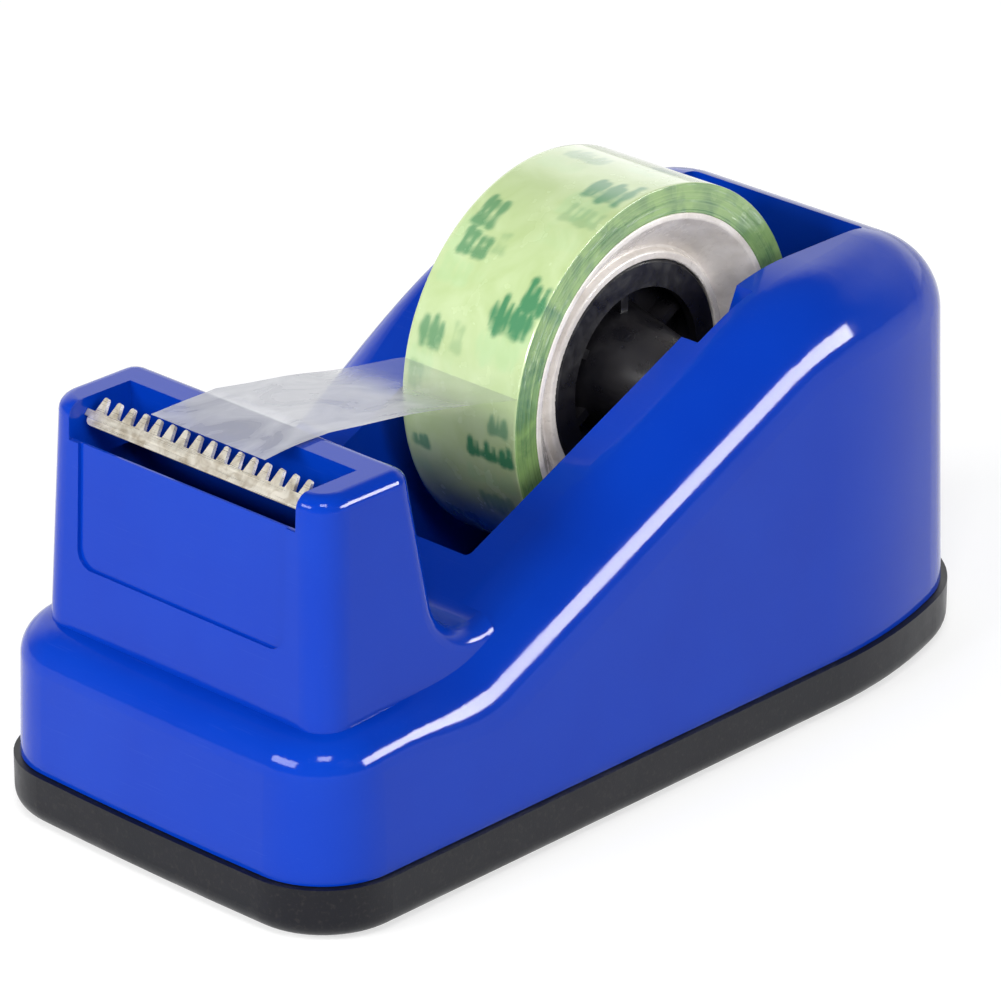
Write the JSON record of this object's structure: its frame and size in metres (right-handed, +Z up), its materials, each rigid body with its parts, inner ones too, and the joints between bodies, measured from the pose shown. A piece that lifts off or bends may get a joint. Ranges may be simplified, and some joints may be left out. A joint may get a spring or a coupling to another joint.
{
  "type": "tape dispenser",
  "caption": "Weighted desk tape dispenser with a serrated cutting blade on a raised head, S-shaped cheeks and a lift-out tape roll on a hub and axle pin.",
  "frame": {"origin": "on the table under the middle of the object's bounding box", "axes": "+X to the dispenser's right-hand side, -Y towards the blade, +Y towards the tape roll, +Z up"},
  "size_m": [0.0564, 0.1198, 0.0644],
  "materials": {
    "blue_plastic": "glossy moulded",
    "charcoal_plastic": "satin",
    "black_plastic": "satin",
    "core_plastic": "satin",
    "wound_film": "glossy layered film",
    "single_film": "clear film",
    "blade_steel": "bright rolled",
    "screw_steel": "zinc plated",
    "ballast_iron": "as cast",
    "foot_rubber": "matte"
  },
  "bodies": {
    "body": {"housing": "blue_plastic", "base_tray": "charcoal_plastic", "ballast_plate": "ballast_iron", "ballast_block": "ballast_iron", "base_screws": "screw_steel", "blade": "blade_steel", "tape_strip": "single_film", "foot_front_left": "foot_rubber", "foot_front_right": "foot_rubber", "foot_rear_left": "foot_rubber", "foot_rear_right": "foot_rubber"},
    "axle": {"axle_pin": "black_plastic"},
    "roll": {"hub_right_half": "black_plastic", "hub_left_half": "black_plastic", "tape_core": "core_plastic", "tape_windings": "wound_film"}
  },
  "joints": [
    {"name": "axle_lift", "type": "slide", "parent": "body", "child": "axle", "axis": [0, 0.4226, 0.9063], "range_m": [0, 0.0165]},
    {"name": "roll_spin", "type": "hinge", "parent": "axle", "child": "roll", "pos_m": [0, 0.0139, 0.0408], "axis": [1, 0, 0], "continuous": true}
  ]
}
